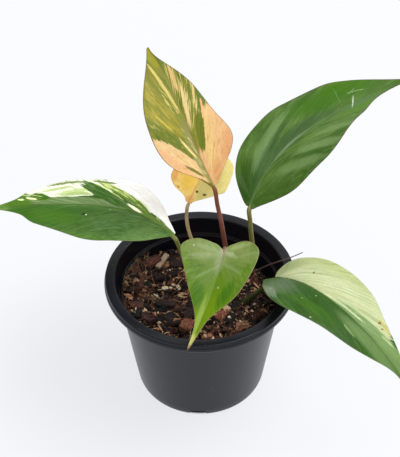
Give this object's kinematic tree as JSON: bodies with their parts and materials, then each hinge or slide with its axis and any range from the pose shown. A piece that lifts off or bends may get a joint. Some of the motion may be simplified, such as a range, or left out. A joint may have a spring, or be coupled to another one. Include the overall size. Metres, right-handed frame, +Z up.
{
  "type": "potted philodendron plant",
  "caption": "Young philodendron with marbled and plain heart-shaped leaves on slim stalks, growing in a round tapered black nursery pot.",
  "frame": {"origin": "middle of the pot's flat underside, on the surface it stands on", "axes": "+Z up, -Y towards the front, where the heart-shaped leaf hangs, and +X to the right"},
  "size_m": [0.2641, 0.1641, 0.2102],
  "materials": {
    "pot": "black moulded plastic, satin",
    "potting_mix": "damp coco husk and bark chips with perlite",
    "stem": "green-brown stem with dry leaf scars",
    "root": "dry brown aerial root",
    "petiole": "olive green stalk, smooth",
    "petiole_red": "red-brown stalk, smooth",
    "leaf_heart": "yellow-green leaf, soft gloss",
    "leaf_tall": "olive leaf marbled with cream and peach, soft gloss",
    "leaf_left": "green leaf marbled with white, soft gloss",
    "leaf_yellow": "yellowing leaf with brown spots",
    "leaf_right_top": "dark green leaf, soft gloss",
    "leaf_right_low": "half cream, half dark green leaf, soft gloss"
  },
  "bodies": {
    "root": {"pot": "pot", "potting_mix": "potting_mix", "stem": "stem", "aerial_root": "root", "petiole_heart": "petiole", "petiole_tall": "petiole_red", "petiole_left": "petiole", "petiole_yellow": "petiole", "petiole_right_top": "petiole", "petiole_right_low": "petiole", "blade_heart": "leaf_heart", "blade_tall": "leaf_tall", "blade_left": "leaf_left", "blade_yellow": "leaf_yellow", "blade_right_top": "leaf_right_top", "blade_right_low": "leaf_right_low"}
  },
  "joints": []
}
